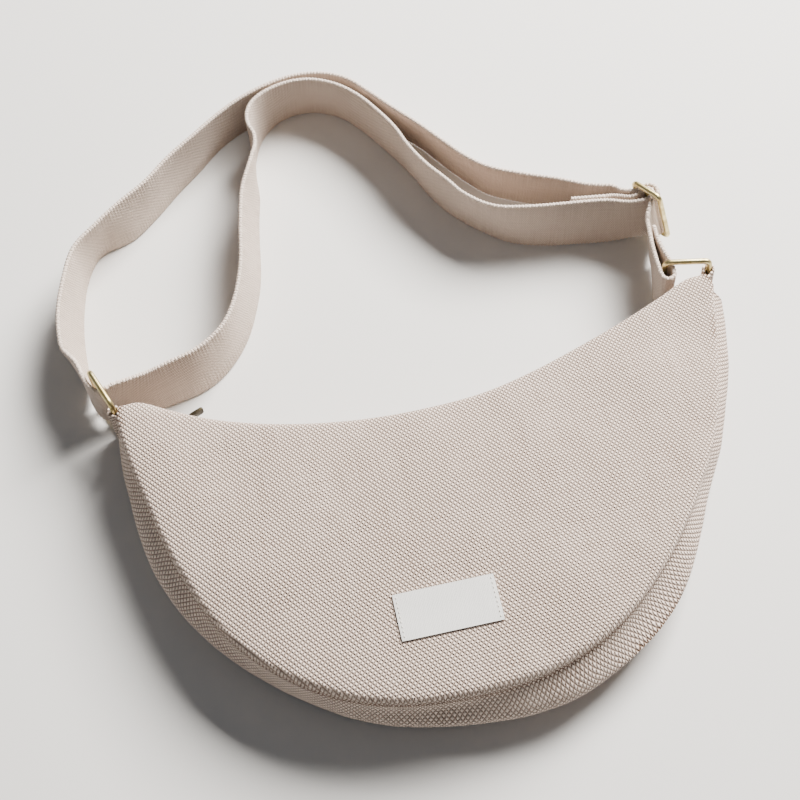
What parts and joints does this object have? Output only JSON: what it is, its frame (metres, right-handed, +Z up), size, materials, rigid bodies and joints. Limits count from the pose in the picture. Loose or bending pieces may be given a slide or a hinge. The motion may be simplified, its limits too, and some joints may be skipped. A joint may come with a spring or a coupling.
{
  "type": "belt bag",
  "caption": "Half-moon canvas belt bag lying on its back, with a long webbing strap, wire rings, a slider, a closed zip and a plain sewn label.",
  "frame": {"origin": "on the surface that the bag lies on, below the middle of the whole, strap included", "axes": "+X from the left horn to the right horn, -Y towards the curved edge, +Z up out of the front panel"},
  "size_m": [0.3194, 0.358, 0.0397],
  "materials": {
    "canvas": "natural plain-weave cotton canvas",
    "webbing": "woven cotton webbing with a fine rib",
    "zip_tape": "olive-brown woven tape with moulded teeth",
    "antique_brass": "antique brass, satin",
    "dark_brass": "blackened brass, satin",
    "label_cloth": "off-white satin label, bare"
  },
  "bodies": {
    "bag": {"front_panel": "canvas", "back_panel": "canvas", "gusset": "canvas", "zip_band_front": "canvas", "zip_band_back": "canvas", "tab_left": "canvas", "tab_right": "canvas", "zip_chain": "zip_tape", "zip_slider": "dark_brass", "label": "label_cloth", "ring_left": "antique_brass", "ring_right": "antique_brass", "strap_slider": "antique_brass", "strap": "webbing"},
    "pull": {"zip_pull": "dark_brass"}
  },
  "joints": [
    {"name": "zip_pull_swing", "type": "hinge", "parent": "bag", "child": "pull", "pos_m": [-0.11038, -0.01026, 0.01557], "axis": [0, 0, 1], "range_deg": [-40, 100]}
  ]
}
